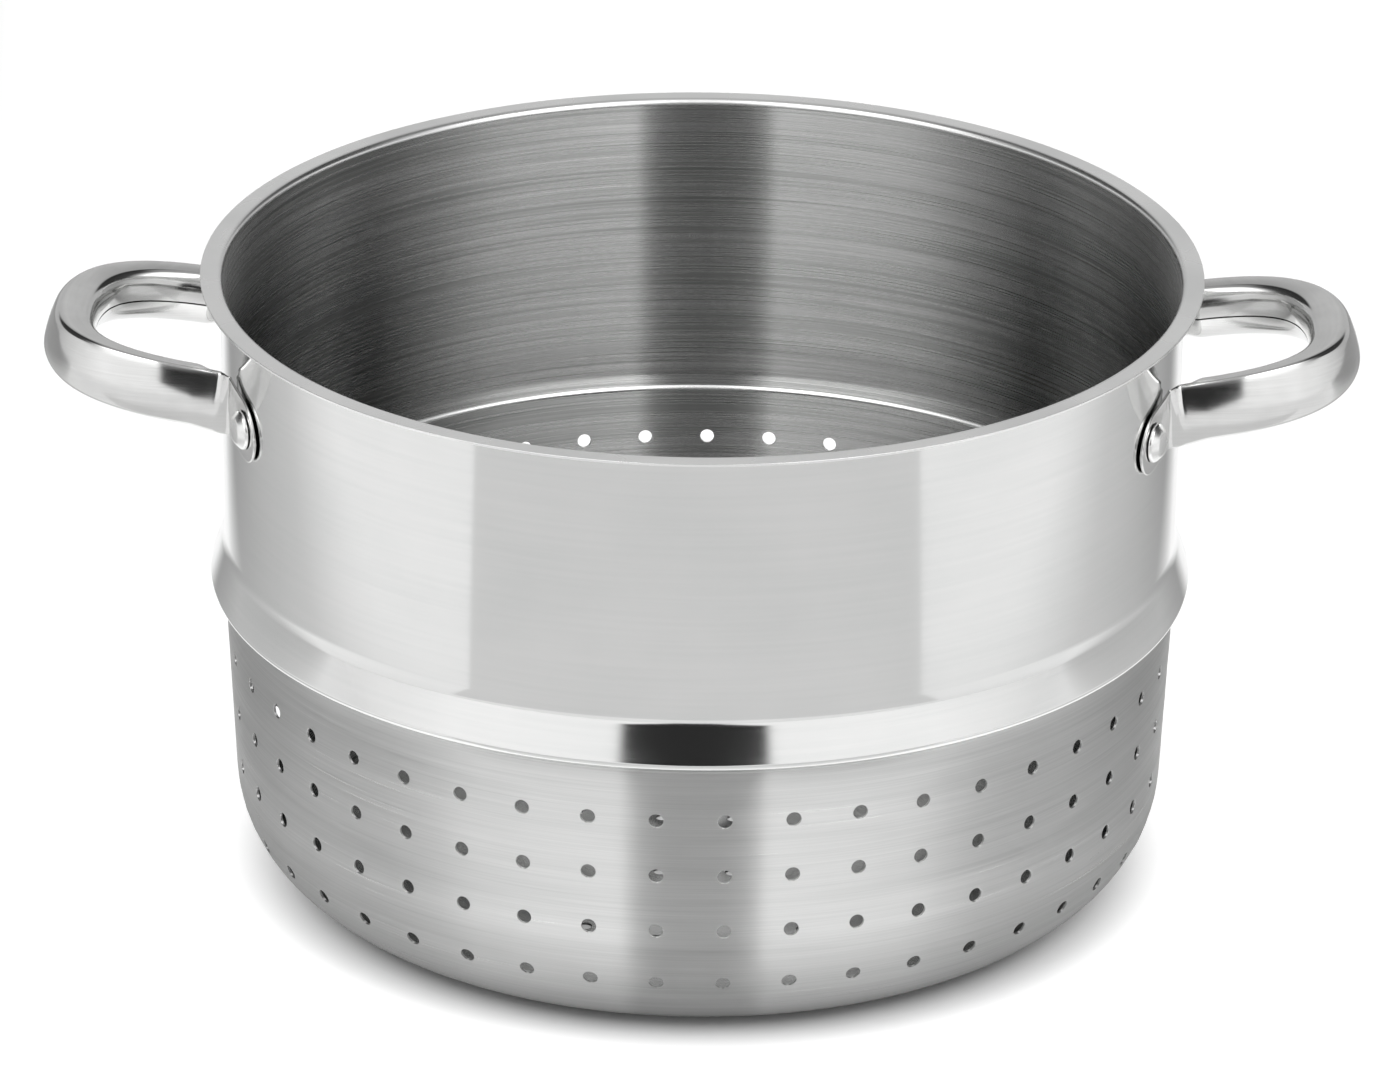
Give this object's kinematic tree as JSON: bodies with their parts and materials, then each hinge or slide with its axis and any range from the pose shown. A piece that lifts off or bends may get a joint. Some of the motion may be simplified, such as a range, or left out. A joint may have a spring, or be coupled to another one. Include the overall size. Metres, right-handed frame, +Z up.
{
  "type": "steam juicer basket",
  "caption": "Open round stainless-steel fruit basket of a steam juicer: flat lip, support bead, perforated lower wall and bottom, and riveted hollow loop handles.",
  "frame": {"origin": "centre of the underside of the flat bottom", "axes": "+Z up the basket's axis through the open rim; +X through the right handle; the side in the picture faces -Y"},
  "size_m": [0.3582, 0.2725, 0.1745],
  "materials": {
    "shell_steel": "stainless steel, satin outside and brushed round the inside",
    "handle_steel": "stainless steel, mirror polished",
    "rivet_steel": "stainless steel, polished"
  },
  "bodies": {
    "root": {"basket_shell": "shell_steel", "handle_right": "handle_steel", "handle_left": "handle_steel", "rivet_right_front": "rivet_steel", "rivet_right_rear": "rivet_steel", "rivet_left_front": "rivet_steel", "rivet_left_rear": "rivet_steel"}
  },
  "joints": []
}
